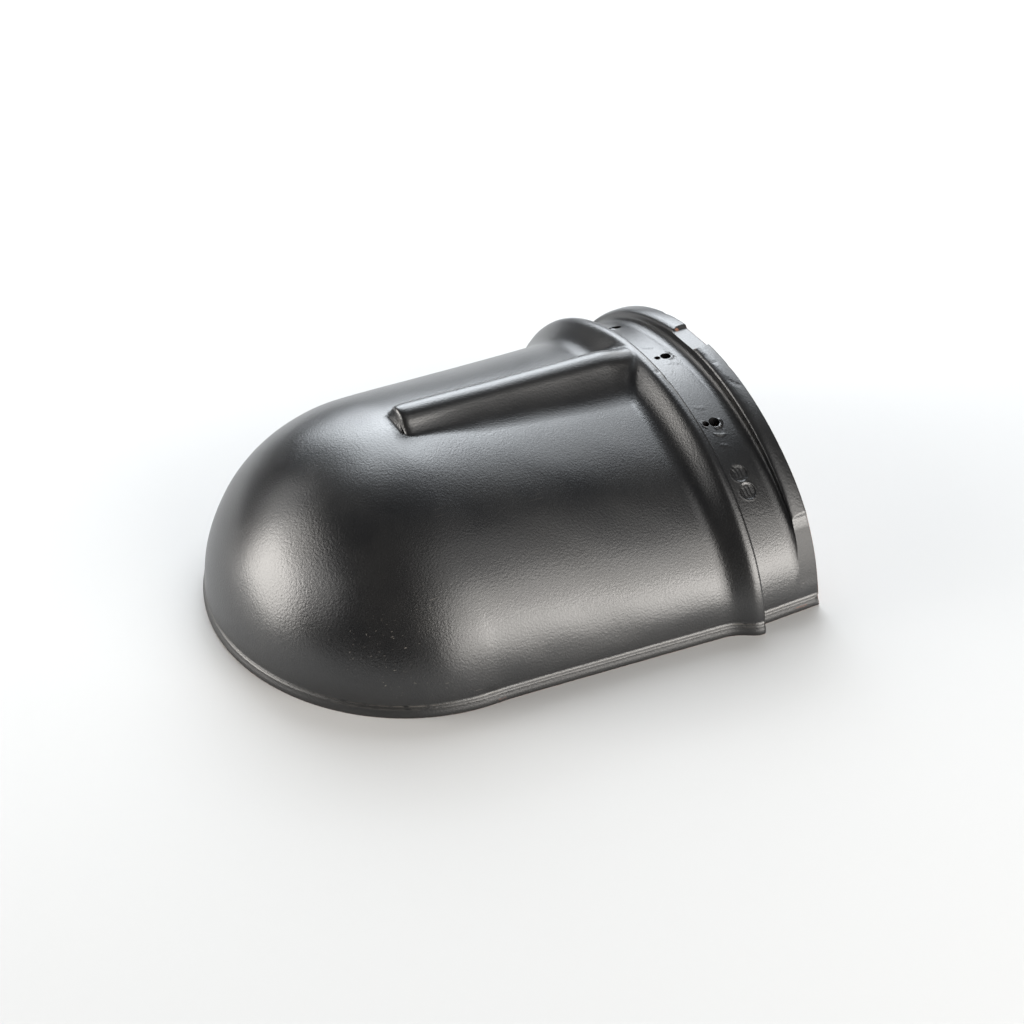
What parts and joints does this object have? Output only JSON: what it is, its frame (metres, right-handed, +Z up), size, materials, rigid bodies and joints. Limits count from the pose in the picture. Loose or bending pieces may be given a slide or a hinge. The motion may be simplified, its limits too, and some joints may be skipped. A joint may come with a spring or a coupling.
{
  "type": "ridge end cap tile",
  "caption": "Hollow fired clay ridge end cap tile with a domed end, a crown rib, a flared collar, a nailing neck and a rolled lip, in a satin black finish",
  "frame": {"origin": "middle of the bounding box in plan, at the level of the flat underside", "axes": "+X runs along the ridge from the domed end to the open lipped end, +Y to the left of that run, +Z up from the underside to the crown"},
  "size_m": [0.297, 0.2784, 0.1127],
  "materials": {
    "black_clay": "satin charcoal black engobe over reddish fired clay, fine grain, light wear"
  },
  "bodies": {
    "root": {"ridge_end_cap_tile": "black_clay"}
  },
  "joints": []
}
